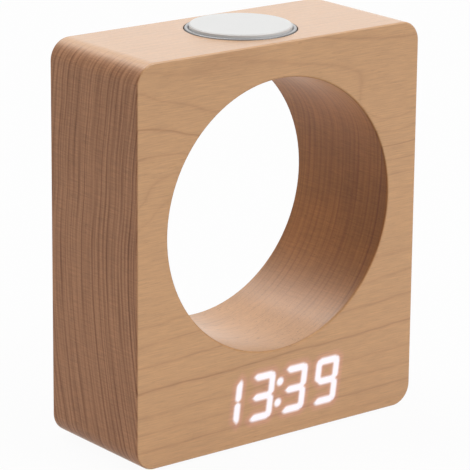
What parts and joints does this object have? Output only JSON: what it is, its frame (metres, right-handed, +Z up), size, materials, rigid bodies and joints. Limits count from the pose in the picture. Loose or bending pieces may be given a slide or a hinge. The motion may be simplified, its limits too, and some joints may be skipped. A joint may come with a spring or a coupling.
{
  "type": "alarm clock",
  "caption": "Upright solid wood block clock with a large round opening, a display that shines through the wood, and a round push button on top.",
  "frame": {"origin": "under the middle of the block, on the surface that the feet stand on", "axes": "+Z up along the block's height, +Y from the front face to the back, +X to the right seen from the front"},
  "size_m": [0.108, 0.044, 0.1272],
  "materials": {
    "wood": "fine sanded, clear matt oil",
    "foot_rubber": "matt moulded rubber",
    "light_film": "matt white diffusing film",
    "white_plastic": "matt white moulded plastic",
    "lit_resin": "milky resin, lit from behind",
    "dark_resin": "milky resin, unlit",
    "led_chip": "bare chip with phosphor",
    "circuit_board": "green solder mask",
    "bright_steel": "bright plated steel",
    "chip_plastic": "black moulding compound",
    "capacitor_can": "plain aluminium can",
    "socket_plastic": "natural nylon",
    "ribbon": "grey insulated flat cable",
    "black_plastic": "fine spark-eroded texture",
    "key_plastic": "fine matt texture",
    "cell_sleeve": "plain shrink sleeve with bright ends",
    "red_insulation": "red wire insulation",
    "black_insulation": "black wire insulation",
    "button_metal": "fine bead-blasted, clear anodised",
    "bezel_metal": "turned and anodised"
  },
  "bodies": {
    "case": {"wood_block": "wood", "channel_plug": "wood", "feet": "foot_rubber", "light_film": "light_film", "display_reflector": "white_plastic", "lit_segments": "lit_resin", "dark_segments": "dark_resin", "led_chips": "led_chip", "display_substrate": "circuit_board", "display_pins": "bright_steel", "main_board": "circuit_board", "board_screws": "bright_steel", "clock_chip": "chip_plastic", "driver_chip": "chip_plastic", "crystal": "bright_steel", "regulator": "chip_plastic", "capacitor": "capacitor_can", "buzzer": "chip_plastic", "lead_sockets": "socket_plastic", "ribbon_cables": "ribbon", "back_housing": "black_plastic", "housing_screws": "bright_steel", "key_board": "circuit_board", "power_board": "circuit_board", "panel_screws": "bright_steel", "key_switches": "chip_plastic", "alarm_switch": "chip_plastic", "usb_shell": "bright_steel", "usb_tongue": "chip_plastic", "battery_cells": "cell_sleeve", "spring_contacts": "bright_steel", "plate_contacts": "bright_steel", "battery_lead": "red_insulation", "button_cup": "black_plastic", "cup_screws": "bright_steel", "button_bezel": "bezel_metal", "button_board": "circuit_board", "button_switch": "chip_plastic", "button_spring": "bright_steel", "button_lead": "black_insulation"},
    "button": {"button_cap": "button_metal", "button_plunger": "key_plastic"},
    "set_key": {"set_key": "key_plastic"},
    "up_key": {"up_key": "key_plastic"},
    "down_key": {"down_key": "key_plastic"},
    "alarm_knob": {"alarm_knob": "key_plastic"},
    "battery_door": {"battery_door": "black_plastic"}
  },
  "joints": [
    {"name": "button_press", "type": "slide", "parent": "case", "child": "button", "axis": [0, 0, -1], "range_m": [0, 0.0006], "stiffness_N_per_m": 1500, "springref_m": -0.0008, "deforming": ["button_spring"]},
    {"name": "set_key_press", "type": "slide", "parent": "case", "child": "set_key", "axis": [0, -1, 0], "range_m": [0, 0.0003], "stiffness_N_per_m": 3000, "springref_m": -0.0003},
    {"name": "up_key_press", "type": "slide", "parent": "case", "child": "up_key", "axis": [0, -1, 0], "range_m": [0, 0.0003], "stiffness_N_per_m": 3000, "springref_m": -0.0003},
    {"name": "down_key_press", "type": "slide", "parent": "case", "child": "down_key", "axis": [0, -1, 0], "range_m": [0, 0.0003], "stiffness_N_per_m": 3000, "springref_m": -0.0003},
    {"name": "alarm_switch_slide", "type": "slide", "parent": "case", "child": "alarm_knob", "axis": [1, 0, 0], "range_m": [0, 0.002]},
    {"name": "battery_door_hinge", "type": "hinge", "parent": "case", "child": "battery_door", "pos_m": [-0.0233, 0.0204, 0.0149], "axis": [0, 0, 1], "range_deg": [0, 95]}
  ]
}
